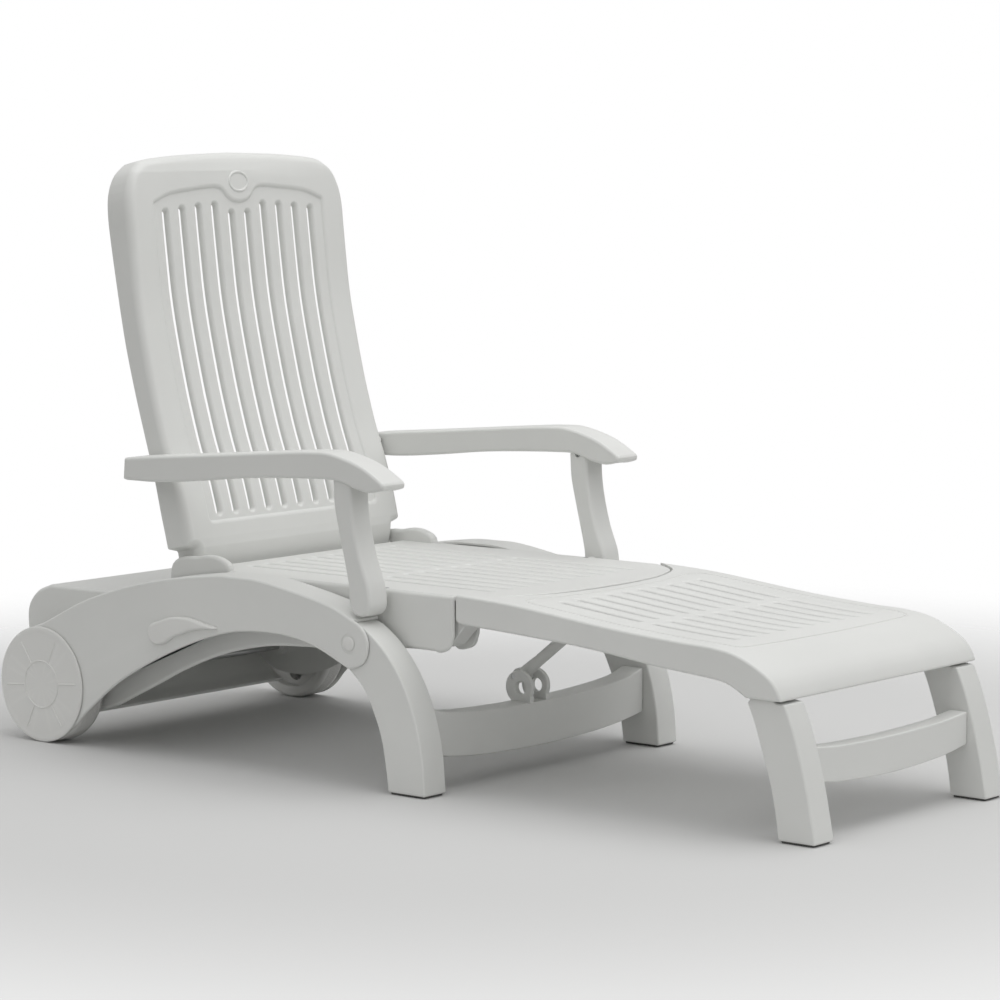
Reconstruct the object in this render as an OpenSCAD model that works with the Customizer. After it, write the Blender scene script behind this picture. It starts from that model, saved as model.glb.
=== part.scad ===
// Reclining sun lounger: moulded seat with two arched side frames, rear wheels,
// a parallelogram backrest with armrests, and a leg rest on folding legs.
// +X points to the foot end, +Y to the sitter's left, +Z up, ground at z = 0. Units: mm.

/* [Overall] */
// Half width of seat, backrest and leg rest
seat_half_w = 284; // [260:1:310]
// Height of the seat top above the ground
seat_z = 333; // [300:1:360]
// Thickness of the moulded walls
wall = 4; // [3:0.5:5]

/* [Backrest] */
// Angle of the backrest from vertical
lean = 11.53; // [5:0.01:20]
// Number of lengthwise slots in each panel
slot_count = 10; // [6:1:12]
// Distance between neighbouring slots
slot_pitch = 42.5; // [36:0.5:46]
// Width of one slot
slot_w = 11; // [8:0.5:14]

/* [Wheels] */
// Wheel radius
wheel_r = 105; // [90:1:115]
// Axle radius
axle_r = 8; // [6:0.5:10]

/* [Armrests] */
// Inner face of the armrest from the centre plane
arm_in = 291; // [290:0.5:294]
// Outer face of the armrest from the centre plane
arm_out = 350; // [346:0.5:354]

/* [Fits] */
// Radial clearance of every turning pin
fit = 0.05; // [0.01:0.01:0.1]
// Gap between faces that only lie next to each other
gap = 0.3; // [0.2:0.05:0.5]

/* [View] */
// Which sub-part to draw

/* [Hidden] */
$fn = 48;

// Pivot centres in the side plane, [x, z]
p_back = [-478, 322];
p_strut = [-9, 322];
p_arm = [-46, 516];
p_lug = p_arm - p_strut + p_back;
p_mid = [-20, 246];
p_rest = [117, 265];
p_front = [772, 238];
p_axle = [-759, wheel_r];
p_lever = [-466, 224];
p_brace = [66, 160];
p_tip = [230, 288];

frame_in = 290;
frame_wall_in = 352;
frame_out = 356;
leg_in = 294;
leg_out = 350;
leg_wall = 5;
front_leg_in = 222;
front_leg_out = 276;
bolt_points = [[-82, 288], [-327, 304], [-552, 238]];
// Centre of the strut's rounded foot, a little below its pivot
strut_foot = [-6, 312];
pad_h = 8;
front_knuckle_r = 16;

// Inner faces of the moulded side walls, of the hinge humps and of the round bosses
shell_in = seat_half_w - wall;
hump_in = 266;
boss_in = 262;
// Hinge lugs of the leg rest under the seat's front edge
lug_in = 215;
lug_out = 223;
// Fork of the strut and tongue of the armrest on either side of the arm pin
tongue_in = 316;
tongue_out = 325;
strut_in = 296.2;
strut_out = 344.8;

// Radii of the pins
hinge_pin_r = 6;
strut_pin_r = 7;
leg_pin_r = 8;
lug_pin_r = 5;
brace_pin_r = 5;
lever_pin_r = 7;
bolt_r = 5;
brace_rod_r = 12;
brace_tip_r = 9;

// Sunk field of the backrest that holds its slots: half width, depth, lower and upper end
field_half_w = 222;
field_depth = 4;
field_low = 74;
field_high = 656;

// Reinforcing ribs: thickness, and how far they stand off the wall they stiffen
rib_t = 4;
rib_h = 12;

white = [0.93, 0.93, 0.91];
dark = [0.16, 0.16, 0.16];
steel = [0.75, 0.76, 0.78];

// ---------- helpers ----------

// Extrudes an [x, z] outline across the width from y0 to y1.
module side(y0, y1) {
  translate([0, y1, 0])
    rotate([90, 0, 0])
      linear_extrude(y1 - y0)
        children();
}

// Round bar across the width through the side-plane point p.
module bar(p, r, y0, y1) {
  translate([p[0], y1, p[1]])
    rotate([90, 0, 0])
      cylinder(h = y1 - y0, r = r);
}

// Puts a part modelled on the +Y side on the chosen side.
module on_side(s) {
  if (s > 0) children();
  else mirror([0, 1, 0]) children();
}

// Offset of one lengthwise slot from the centre plane.
function slot_y(i) = (i - (slot_count - 1) / 2) * slot_pitch;

// ---------- seat ----------

// Side silhouette of the middle of the seat, from front to rear apron.
module seat_outline() {
  polygon([[148, seat_z], [-440, seat_z], [-445, seat_z - 5], [-445, 276], [-812, 274],
    [-835, 267], [-852, 256], [-864, 245], [-871, 232], [-872, 186], [-868, 150], [-850, 110],
    [-820, 72], [-790, 48], [-757, 36], [-700, 60], [-560, 160], [-300, 236], [148, 236]]);
}

// Silhouette of the seat's side walls, with hinge hump and front ear.
module seat_side_outline() {
  polygon([[148, seat_z], [-338, seat_z], [-362, 335], [-390, 342], [-425, 349], [-455, 353],
    [-478, 353], [-494, 349], [-505, 338], [-509, 324], [-509, 276], [-812, 274],
    [-835, 267], [-852, 256], [-864, 245], [-871, 232], [-872, 186], [-868, 150], [-850, 110],
    [-820, 80], [-790, 62], [-757, 52], [-700, 52], [-640, 68], [-607, 83], [-542, 115],
    [-470, 150], [-380, 185], [-282, 208], [-193, 214], [-106, 219], [-45, 220], [0, 220],
    [22, 231], [40, 236], [105, 236], [117, 234], [128, 236], [139, 243], [146, 254], [148, 265]]);
}

// Plan outline of the seat's bowed front tongue.
module tongue_plan(grow) {
  offset(delta = grow)
    polygon([[100, -280], [148, -280], [183, -258], [218, -221], [238, -180], [249, -130],
      [256, -70], [258, 0], [256, 70], [249, 130], [238, 180], [218, 221], [183, 258],
      [148, 280], [100, 280]]);
}

module seat_skin() {
  side(-shell_in, shell_in)
    difference() {
      seat_outline();
      offset(delta = -wall) seat_outline();
      polygon([[143, 200], [143, 325], [200, 325], [200, 200]]);
      polygon([[-752, 0], [-752, 90], [-560, 190], [-300, 270], [143, 270], [143, 0]]);
    }
}

module hinge_hump() {
  side(hump_in, seat_half_w)
    difference() {
      intersection() {
        seat_side_outline();
        translate([-512, 300]) square([172, 60]);
      }
      translate([-433, 290]) square([100, 38]);
    }
}

module seat_shell() {
  color(white)
    difference() {
      union() {
        seat_skin();
        for (s = [1, -1]) on_side(s) {
          side(shell_in - 0.5, seat_half_w) seat_side_outline();
          hinge_hump();
          side(lug_in, lug_out) translate([86, p_rest[1]]) square([62, 65]);
          bar(p_rest, 31, lug_in, lug_out);
          bar(p_rest, 16, 276, shell_in);
          bar(p_strut, 13, shell_in - 1, 294);
          bar(p_axle, 18, 264, shell_in);
          for (p = bolt_points) bar(p, 16, boss_in, shell_in);
        }
        translate([0, 0, seat_z - 8]) linear_extrude(8) tongue_plan(0);
        for (y = [-150, 150])
          side(y - rib_t / 2, y + rib_t / 2)
            translate([-440, seat_z - wall - rib_h]) square([540, rib_h + 1]);
        for (x = [-300, -120, 60])
          translate([x, -shell_in, seat_z - wall - rib_h]) cube([rib_t, 2 * shell_in, rib_h + 1]);
      }
      for (i = [0 : slot_count - 1])
        for (x = [-400, -110])
          translate([x, slot_y(i) - slot_w / 2, seat_z - 12]) cube([270, slot_w, 30]);
      for (s = [1, -1]) on_side(s) {
        bar(p_back, hinge_pin_r, 260, 290);
        bar(p_rest, hinge_pin_r, lug_in - 5, 282);
        bar(p_strut, strut_pin_r, 270, 295);
        bar(p_mid, leg_pin_r, 270, 290);
        bar(p_axle, axle_r, 260, 290);
        for (p = bolt_points) bar(p, bolt_r, 255, 290);
        side(255, hump_in - gap) translate([-520, 277]) square([70, 80]);
      }
    }
}

// ---------- side frame ----------

module arch_outline() {
  polygon([[-758, 216], [-716, 238], [-678, 255], [-640, 270], [-566, 295], [-493, 312],
    [-422, 326], [-351, 334], [-281, 337], [-213, 334], [-145, 326], [-79, 310], [-40, 298],
    [-13, 286], [6, 276], [16, 264], [21, 250], [19, 230], [9, 216], [-5, 208], [-24, 203],
    [-53, 217], [-106, 235], [-146, 244], [-193, 247], [-248, 245], [-303, 238], [-352, 225],
    [-423, 198], [-496, 166], [-554, 134], [-603, 102], [-644, 68], [-680, 36], [-720, 18],
    [-765, 20], [-800, 40], [-822, 70], [-832, 105], [-830, 140], [-815, 174], [-790, 202]]);
}

module side_frame(s) {
  color(white) on_side(s)
    difference() {
      union() {
        side(frame_wall_in, frame_out) arch_outline();
        side(frame_in, frame_wall_in + 0.5)
          intersection() {
            difference() {
              arch_outline();
              offset(delta = -4) arch_outline();
            }
            polygon([[-750, 190], [-640, 235], [-480, 275], [-281, 300], [-120, 285],
              [-13, 265], [-13, 400], [-750, 400]]);
          }
        for (p = bolt_points) bar(p, 14, seat_half_w + gap, frame_wall_in + 1);
        bar(p_lever, 16, 346, 353);
      }
      bar(p_axle, 17.5, 340, 360);
      bar(p_mid, leg_pin_r, 340, 360);
      bar(p_lever, lever_pin_r + fit, 340, 360);
      for (p = bolt_points) bar(p, bolt_r, 280, 330);
    }
}

module frame_bolts(s) {
  color(steel) on_side(s)
    for (p = bolt_points) {
      bar(p, bolt_r - gap / 3, boss_in - 2, 328);
      bar(p, 9, 256, boss_in - gap);
    }
}

module wheel_axle() {
  color(steel) bar(p_axle, axle_r, -358, 358);
}

// ---------- fixed pins ----------

module strut_pin(s) {
  color(steel) on_side(s) {
    bar(p_strut, strut_pin_r, 276, 342);
    bar(p_strut, 12, 270, 276.2);
  }
}

module leg_pin(s) {
  color(steel) on_side(s) {
    bar(p_mid, leg_pin_r, 274, frame_out + 0.4);
    bar(p_mid, 12, frame_out + gap, 359);
  }
}

module back_pin(s) {
  color(steel) on_side(s)
    bar(p_back, hinge_pin_r, 228, 283);
}

module rest_pin(s) {
  color(steel) on_side(s)
    bar(p_rest, hinge_pin_r, 213, 281.5);
}

// ---------- backrest ----------

// Frame of the backrest: x out of its front face, z up along it.
module back_frame() {
  translate([-469, 0, 333])
    rotate([0, -lean, 0])
      children();
}

// Front face, upright at the top and leaning further back lower down, then the rear face.
module back_profile() {
  polygon([[4, -10], [8, 2], [14, 12], [19, 28], [20, 60], [17, 110], [10, 165], [0, 220],
    [-6, 275], [-10, 330], [-13, 430], [-12, 490], [-8, 540], [-3, 595], [1, 640], [4, 690],
    [2, 712], [-4, 732], [-12, 742], [-24, 745], [-36, 742], [-46, 728], [-53, 690], [-57, 640],
    [-60, 600], [-62, 528], [-63, 450], [-62, 390], [-57, 314], [-51, 250], [-46, 200],
    [-42, 150], [-40, 100], [-37, 55], [-35, 11], [-31, -12], [-24, -23], [-11, -27], [1, -21]]);
}

// Front view of the backrest: crowned top with large round corners.
module back_silhouette() {
  polygon([[-262, -40], [262, -40], [262, 30], [285, 35], [285, 620], [283, 655], [277, 680],
    [266, 703], [250, 719], [228, 729], [190, 734], [130, 738], [60, 741], [0, 742],
    [-60, 741], [-130, 738], [-190, 734], [-228, 729], [-250, 719], [-266, 703], [-277, 680],
    [-283, 655], [-285, 620], [-285, 35], [-262, 30]]);
}

// Extrudes a front-view outline from x0 to x1 in the backrest frame.
module facing(x0, x1) {
  translate([x0, 0, 0])
    rotate([90, 0, 90])
      linear_extrude(x1 - x0)
        children();
}

module back_body(t) {
  intersection() {
    side(-285 + t, 285 - t) offset(delta = -t) back_profile();
    facing(-70, 10) offset(delta = -t) back_silhouette();
  }
}

// Band of the front wall behind the sunk field, between two copies of the profile.
module field_wall() {
  side(-field_half_w - wall, field_half_w + wall)
    intersection() {
      difference() {
        translate([-field_depth, 0]) back_profile();
        translate([-field_depth - wall, 0]) back_profile();
      }
      translate([-30, field_low - wall]) square([60, field_high - field_low + 2 * wall]);
    }
}

module field_cut() {
  side(-field_half_w, field_half_w)
    difference() {
      translate([-28, field_low]) square([60, field_high - field_low]);
      translate([-field_depth, 0]) back_profile();
    }
}

module back_slots() {
  for (i = [0 : slot_count - 1])
    facing(-34, 30)
      translate([slot_y(i) - slot_w / 2, 88])
        square([slot_w, abs(i - (slot_count - 1) / 2) < 1 ? 542 : 555]);
}

module backrest_panel() {
  color(white)
    difference() {
      union() {
        back_frame() {
          difference() {
            union() {
              difference() {
                back_body(0);
                back_body(wall);
                facing(-70, -30)
                  offset(delta = -wall - 3)
                    intersection() {
                      back_silhouette();
                      translate([-300, 62]) square([600, 700]);
                    }
              }
              field_wall();
            }
            field_cut();
            back_slots();
          }
          facing(-2, 5)
            translate([0, 685])
              scale([1, 0.72])
                difference() {
                  circle(r = 27);
                  circle(r = 20);
                }
        }
        for (s = [1, -1]) on_side(s) {
          bar(p_back, 15, 228, boss_in);
          bar(p_lug, 8, boss_in, 285);
        }
      }
      for (s = [1, -1]) on_side(s) {
        bar(p_back, hinge_pin_r + fit, 220, 290);
        bar(p_lug, lug_pin_r, 255, 290);
      }
    }
}

module lug_pin(s) {
  color(steel) on_side(s)
    bar(p_lug, lug_pin_r, 258, 305);
}

// ---------- armrest and strut ----------

module armrest_outline() {
  polygon([[-557, 494], [-556, 508], [-552, 519], [-544, 526], [-520, 529], [-374, 542],
    [-280, 551], [-185, 558], [-130, 562], [-93, 563.5], [-65, 563], [-45, 559], [-25, 554],
    [-3, 546], [20, 535], [40, 524], [49, 518], [52, 513], [49, 507], [38, 503], [17, 501],
    [0, 502], [-16, 506], [-34, 512], [-52, 516], [-94, 517], [-170, 514], [-248, 509],
    [-374, 496], [-471, 488], [-545, 487], [-553, 489]]);
}

// Open underside of the armrest's nose, where the strut lies when the backrest is down.
module nose_notch() {
  polygon([[-80, 480], [-80, 525], [-35, 539], [-5, 527], [20, 515], [41, 508], [41, 480]]);
}

module armrest(s) {
  color(white) on_side(s)
    difference() {
      union() {
        difference() {
          side(arm_in, arm_out) armrest_outline();
          side(arm_in + 4.5, arm_out - 4.5) offset(delta = -4.5) armrest_outline();
          side(arm_in + 4.5, arm_out - 4.5)
            translate([0, -30]) offset(delta = -4.5) armrest_outline();
          side(arm_in + 4.5, arm_out - 4.5) nose_notch();
        }
        bar(p_arm, 12, tongue_in, tongue_out);
        side(tongue_in, tongue_out) translate([p_arm[0] - 12, p_arm[1]]) square([24, 43]);
        bar(p_lug, 9.5, arm_in, 307);
        for (x = [-430, -330, -230, -140])
          side(arm_in + 4, arm_out - 4) translate([x, 512 + (x + 430) * 0.06]) square([4, 22]);
      }
      bar(p_arm, hinge_pin_r + fit, 310, 330);
      bar(p_lug, lug_pin_r + fit, 280, 306);
    }
}

module strut_outline() {
  polygon([[-66, 516], [-63, 472], [-53, 428], [-42, 384], [-32, 345], [-31, 322], [13, 322],
    [10, 345], [-5, 386], [-17, 430], [-24, 472], [-26, 516]]);
}

// Channel down the rear of the strut, between its two round ends.
module strut_channel() {
  intersection() {
    union() {
      offset(delta = -4.5) strut_outline();
      translate([-30, 0]) offset(delta = -4.5) strut_outline();
    }
    translate([-120, 352]) square([140, 134]);
  }
}

module arm_strut(s) {
  color(white) on_side(s)
    difference() {
      union() {
        side(strut_in, strut_out) strut_outline();
        bar(p_arm, 20, strut_in, strut_out);
        bar(strut_foot, 21.5, strut_in, strut_out);
        bar(p_strut, 22, strut_in, strut_out);
      }
      side(tongue_in - 0.5, tongue_out + 0.5) translate([-90, p_arm[1] - 14]) square([90, 60]);
      side(strut_in + 4.5, strut_out - 4.5) strut_channel();
      bar(p_arm, hinge_pin_r, 290, 341);
      bar(p_strut, strut_pin_r + fit, 290, 342.5);
    }
}

module arm_pin(s) {
  color(steel) on_side(s)
    bar(p_arm, hinge_pin_r, 300, 340.5);
}

// ---------- leg rest ----------

module rest_outline() {
  polygon([[152.5, 337], [209, 334.5], [281, 329], [375, 320], [468, 310], [520, 304], [559, 301],
    [600, 300.5], [640, 300], [674, 297], [702, 293], [727, 287], [747, 280], [763, 272],
    [778, 262], [790, 252], [798, 242], [805, 233], [808, 222], [797, 221], [740, 222], [729, 227],
    [708, 239], [681, 245], [637, 249], [595, 252], [555, 256], [510, 262], [468, 267], [422, 271],
    [352, 275], [281, 280], [202, 284], [165, 286], [156, 288], [152.5, 293]]);
}

module rest_arm_outline() {
  polygon([[117, 243], [135, 252], [165, 284], [230, 296], [230, 326], [160, 326], [148, 300],
    [117, 287]]);
}

// Underside of a cross rib, which follows the falling top of the leg rest.
function rest_rib_z(x) = 301 - (x - 400) * 0.08;

module legrest_panel() {
  color(white)
    difference() {
      union() {
        difference() {
          side(-seat_half_w, seat_half_w) rest_outline();
          side(-seat_half_w + wall, seat_half_w - wall)
            difference() {
              offset(delta = -wall) rest_outline();
              translate([100, 200]) square([60, 150]);
            }
          side(-seat_half_w + wall, seat_half_w - wall)
            polygon([[140, 200], [140, 330], [160, 331], [209, 329], [281, 323], [300, 300],
              [740, 255], [770, 240], [803, 228], [803, 215], [740, 200]]);
        }
        for (s = [1, -1]) on_side(s) {
          side(230, 272) rest_arm_outline();
          bar(p_rest, 22, 230, 272);
          side(lug_in + 1, lug_out - 2) polygon([[650, 299], [650, 268], [735, 236], [760, 222], [790, 224],
            [799, 238], [790, 249], [770, 264], [740, 279]]);
          bar(p_front, 14, front_leg_out + gap, shell_in);
        }
        translate([196, -274, 302]) cube([98, 548, 5]);
        translate([290, -281, 302]) cube([4, 562, 23]);
        for (x = [400, 500, 600])
          translate([x, -281, rest_rib_z(x)]) cube([rib_t, 562, rib_h]);
      }
      translate([0, 0, 310]) linear_extrude(60) tongue_plan(4);
      for (i = [0 : slot_count - 1])
        for (x = [300, 490])
          translate([x, slot_y(i) - slot_w / 2, 288]) cube([170, slot_w, 60]);
      for (s = [1, -1]) on_side(s) {
        bar(p_rest, hinge_pin_r + fit, 220, 290);
        bar(p_front, hinge_pin_r, 210, 282);
      }
    }
}

// Half-round seat under the leg rest for the upper end of the brace.
module brace_cradle() {
  color(white)
    difference() {
      union() {
        for (y = [-30, 22])
          side(y, y + 8)
            polygon([[206, 302 - gap], [206, 290], [214, 281], [246, 281], [254, 290],
              [254, 302 - gap]]);
        side(-30, 30) translate([206, 300 - gap]) square([48, 2]);
      }
      bar(p_tip, brace_tip_r + gap, -60, 60);
      side(-60, 60)
        translate([p_tip[0] - brace_tip_r - gap, 270])
          square([2 * (brace_tip_r + gap), 18]);
    }
}

module front_pin(s) {
  color(steel) on_side(s)
    bar(p_front, hinge_pin_r, 213, 281.5);
}

// ---------- middle legs ----------

module mid_leg_outline() {
  polygon([[-52, 231], [-44, 215], [-31, 206], [-14, 193], [7, 171], [20, 151], [29, 131],
    [38, 110], [45, 90], [52, 60], [56, 35], [59, pad_h], [140, pad_h], [138, 35], [135, 66],
    [130, 92], [123, 119], [115, 144], [104, 168], [92, 191], [78, 211], [63, 229], [46, 246],
    [30, 260], [14, 270], [0, 275]]);
}

// Channel in a leg: its outline less a wall, drawn out through the rear face.
module leg_channel() {
  offset(delta = -leg_wall) children();
  translate([-60, 0]) offset(delta = -leg_wall) children();
}

module mid_leg(s) {
  color(white) on_side(s)
    difference() {
      union() {
        difference() {
          union() {
            bar(p_mid, 35, leg_in, leg_out);
            side(leg_in, leg_out) mid_leg_outline();
          }
          side(leg_in + leg_wall, leg_out - leg_wall)
            intersection() {
              leg_channel() mid_leg_outline();
              translate([-70, pad_h + leg_wall]) square([220, 215 - pad_h - leg_wall]);
            }
        }
        bar(p_mid, 16, leg_in, leg_out);
      }
      bar(p_mid, leg_pin_r + fit, 290, 360);
      side(leg_in - 1, leg_in + 20) stretcher_tenon(0.2);
    }
}

module stretcher_tenon(grow) {
  offset(delta = grow)
    polygon([[72, 62], [100, 62], [100, 108], [82, 118], [68, 118]]);
}

// Bowed cross bar: lower and higher in turn across the width.
module mid_stretcher() {
  color(white)
    difference() {
      union() {
        side(-(leg_in + 18), leg_in + 18) stretcher_tenon(0);
        for (s = [1, -1]) on_side(s)
          rotate([90, 0, 90])
            translate([0, 0, 60])
              linear_extrude(46)
                polygon([[-0.1, 118], [90, 119], [180, 123], [250, 130], [leg_in - gap, 142],
                  [leg_in - gap, 62], [230, 52], [150, 45], [70, 42], [-0.1, 41]]);
        for (y = [-27, 17])
          side(y, y + 10) {
            translate([78, 142]) circle(r = 29);
            translate([60, 100]) square([46, 40]);
          }
      }
      bar([83, 142], 12, -30, 30);
      bar(p_brace, brace_pin_r, -40, 40);
      side(-15, 15) translate([40, 125]) square([90, 60]);
      side(10 - leg_in, leg_in - 10) translate([66, 30]) square([34, 74]);
    }
}

module brace_pin() {
  color(steel) bar(p_brace, brace_pin_r, -26, 26);
}

module mid_pad(s) {
  color(dark) on_side(s)
    side(leg_in, leg_out) translate([58, 0]) square([83, pad_h - gap]);
}

// ---------- brace rod ----------

brace_dx = p_tip[0] - p_brace[0];
brace_dz = p_tip[1] - p_brace[1];
brace_len = sqrt(brace_dx * brace_dx + brace_dz * brace_dz);
brace_angle = atan2(brace_dz, brace_dx);

module brace_rod() {
  color(white)
    difference() {
      union() {
        bar(p_brace, 13, -14, 14);
        bar(p_tip, brace_tip_r, -34, 34);
        translate([p_brace[0], 0, p_brace[1]])
          rotate([0, 90 - brace_angle, 0])
            cylinder(h = brace_len, r = brace_rod_r);
      }
      bar(p_brace, brace_pin_r + fit, -20, 20);
    }
}

// ---------- front legs ----------

module front_leg_outline() {
  polygon([[738, 214], [745, 199], [751, 185], [760, 161], [767, 138], [776, 112], [783, 87],
    [790, 60], [794, 35], [798, pad_h], [867, pad_h], [863, 32], [859, 55], [854, 77], [848, 103],
    [841, 128], [834, 154], [825, 179], [817, 198], [809, 217], [790, 219.5], [786, 238],
    [758, 238]]);
}

module front_leg(s) {
  color(white) on_side(s)
    difference() {
      union() {
        bar(p_front, front_knuckle_r, front_leg_in, front_leg_out);
        difference() {
          side(front_leg_in, front_leg_out) front_leg_outline();
          side(front_leg_in + leg_wall, front_leg_out - leg_wall)
            intersection() {
              leg_channel() front_leg_outline();
              translate([690, pad_h + leg_wall]) square([180, 190 - pad_h - leg_wall]);
            }
        }
      }
      bar(p_front, hinge_pin_r + fit, 215, 285);
      side(front_leg_in - 1, front_leg_in + 16) front_tenon(0.2);
    }
}

module front_tenon(grow) {
  offset(delta = grow)
    polygon([[803, 92], [826, 92], [818, 132], [795, 132]]);
}

module front_stretcher() {
  color(white)
    difference() {
      union() {
        side(-(front_leg_in + 14), front_leg_in + 14) front_tenon(0);
        for (s = [1, -1]) on_side(s)
          rotate([90, 0, 90])
            translate([0, 0, 796])
              linear_extrude(34)
                polygon([[-0.1, 137], [80, 138], [160, 141], [front_leg_in - gap, 147],
                  [front_leg_in - gap, 92], [160, 83], [80, 78], [-0.1, 76]]);
      }
      side(10 - front_leg_in, front_leg_in - 10) translate([790, 60]) square([35, 60]);
    }
}

module front_pad(s) {
  color(dark) on_side(s)
    side(front_leg_in, front_leg_out) translate([797, 0]) square([75, pad_h - gap]);
}

// ---------- wheels ----------

module ring_profile() {
  polygon([[axle_r + fit, 300], [28, 300], [28, 318], [84, 318], [84, 301], [88, 300], [99, 300],
    [104, 303], [wheel_r, 308], [wheel_r, 341], [104, 346], [99, 349], [88, 349], [84, 346],
    [84, 330], [28, 330], [28, 349], [16, 349], [16, 356 + gap], [axle_r + fit, 356 + gap]]);
}

module wheel(s) {
  color(white) on_side(s)
    translate([p_axle[0], 0, p_axle[1]])
      difference() {
        rotate([-90, 0, 0]) rotate_extrude($fn = 96) ring_profile();
        for (k = [0 : 5])
          rotate([0, 60 * k + 30, 0])
            translate([57, 335, 0])
              rotate([90, 0, 0])
                cylinder(h = 30, r = 17);
      }
}

// Round cap in front of the frame, with a raised ring and six raised spokes.
module hub_cap(s) {
  color(white) on_side(s)
    translate([p_axle[0], 0, p_axle[1]])
      difference() {
        union() {
          rotate([-90, 0, 0])
            rotate_extrude($fn = 96)
              polygon([[0, 356.8], [102, 356.8], [104.5, 358], [104.5, 359.4], [102.5, 360.6],
                [97, 361], [93, 360], [0, 360]]);
          translate([0, 361, 0])
            rotate([90, 0, 0])
              difference() {
                cylinder(h = 1.5, r = 45);
                cylinder(h = 1.5, r = 40);
              }
          for (k = [0 : 5])
            rotate([0, -60 * k - 5, 0])
              translate([44, 359.5, -2.5]) cube([42, 1.5, 5]);
        }
        rotate([90, 0, 0])
          translate([0, 0, -358.3])
            cylinder(h = 10, r = axle_r + fit);
      }
}

// ---------- release levers ----------

module lever(s) {
  color(white) on_side(s)
    union() {
      bar(p_lever, 20, 356.4, 366);
      side(356.4, 365)
        polygon([[-477, 240.5], [-466, 244], [-450, 250], [-432, 255.5], [-410, 258],
          [-385, 258], [-360, 254], [-340, 250], [-324, 246.5], [-323, 244.5], [-335, 243],
          [-360, 240], [-385, 235], [-410, 226], [-428, 219], [-442, 210], [-452, 206], [-466, 204]]);
      bar(p_lever, lever_pin_r, 332, 357);
    }
}

// Small cam on the inner end of the lever shaft.
module lever_cam(s) {
  color(dark) on_side(s)
    difference() {
      union() {
        bar(p_lever, 15, 320, 345.5);
        side(320, 334)
          polygon([[-478, 233], [-466, 262], [-458, 262], [-452, 228], [-466, 212]]);
      }
      bar(p_lever, lever_pin_r, 331.5, 350);
    }
}

seat_shell();
side_frame(1);  // side_frame_left
side_frame(-1);  // side_frame_right
wheel_axle();
frame_bolts(1);  // frame_bolts_left
frame_bolts(-1);  // frame_bolts_right
strut_pin(1);  // strut_pin_left
strut_pin(-1);  // strut_pin_right
leg_pin(1);  // leg_pin_left
leg_pin(-1);  // leg_pin_right
back_pin(1);  // back_pin_left
back_pin(-1);  // back_pin_right
rest_pin(1);  // rest_pin_left
rest_pin(-1);  // rest_pin_right
backrest_panel();
lug_pin(1);  // lug_pin_left
lug_pin(-1);  // lug_pin_right
armrest(1);  // armrest_left
armrest(-1);  // armrest_right
arm_strut(1);  // arm_strut_left
arm_strut(-1);  // arm_strut_right
arm_pin(1);  // arm_pin_left
arm_pin(-1);  // arm_pin_right
legrest_panel();
brace_cradle();
front_pin(1);  // front_pin_left
front_pin(-1);  // front_pin_right
mid_leg(1);  // mid_leg_left
mid_leg(-1);  // mid_leg_right
mid_stretcher();
brace_pin();
mid_pad(1);  // mid_pad_left
mid_pad(-1);  // mid_pad_right
brace_rod();
front_leg(1);  // front_leg_left
front_leg(-1);  // front_leg_right
front_stretcher();
front_pad(1);  // front_pad_left
front_pad(-1);  // front_pad_right
wheel(1);  // wheel_left
wheel(-1);  // wheel_right
hub_cap(1);  // hub_cap_left
hub_cap(-1);  // hub_cap_right
lever(1);  // lever_left
lever(-1);  // lever_right
lever_cam(1);  // lever_cam_left
lever_cam(-1);  // lever_cam_right
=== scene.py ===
"""Looks of the reclining sun lounger: smooth moulded-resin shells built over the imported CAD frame."""
import math

import bmesh
import bpy
from mathutils import Matrix, Vector


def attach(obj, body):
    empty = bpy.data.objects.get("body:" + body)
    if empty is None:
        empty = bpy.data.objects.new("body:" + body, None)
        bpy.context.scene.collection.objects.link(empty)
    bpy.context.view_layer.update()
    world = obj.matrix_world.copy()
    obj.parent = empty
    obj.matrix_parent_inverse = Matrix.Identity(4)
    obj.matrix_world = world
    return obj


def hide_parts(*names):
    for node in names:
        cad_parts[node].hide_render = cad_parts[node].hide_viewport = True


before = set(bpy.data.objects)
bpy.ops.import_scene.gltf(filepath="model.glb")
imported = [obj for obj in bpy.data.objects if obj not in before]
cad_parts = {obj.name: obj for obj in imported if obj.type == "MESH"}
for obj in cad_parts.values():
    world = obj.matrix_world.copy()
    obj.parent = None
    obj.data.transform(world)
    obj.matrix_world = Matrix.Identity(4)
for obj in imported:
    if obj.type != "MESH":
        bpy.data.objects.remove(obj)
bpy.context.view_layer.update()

MM = 0.001

# ---------------------------------------------------------------- driving sizes, mm
HALF_W = 284.0
SEAT_Z = 333.0
WALL = 4.0
LEAN = math.radians(11.53)
SLOT_COUNT = 10
SLOT_PITCH = 42.5
SLOT_W = 11.0
FRAME_IN, FRAME_WALL, FRAME_OUT = 290.0, 352.0, 356.0
LEG_IN, LEG_OUT = 294.0, 350.0
ARM_IN, ARM_OUT = 291.0, 350.0
STRUT_IN, STRUT_OUT = 296.2, 344.8
FRONT_IN, FRONT_OUT = 222.0, 276.0
SOLE_Z = 3.0
TENON = [(72, 62), (100, 62), (100, 108), (82, 118), (68, 118)]
FRONT_TENON = [(803, 92), (826, 92), (818, 132), (795, 132)]
WHEEL_R = 105.0
AXLE_R = 8.0
SHARP_ANGLE = math.radians(32)

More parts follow.
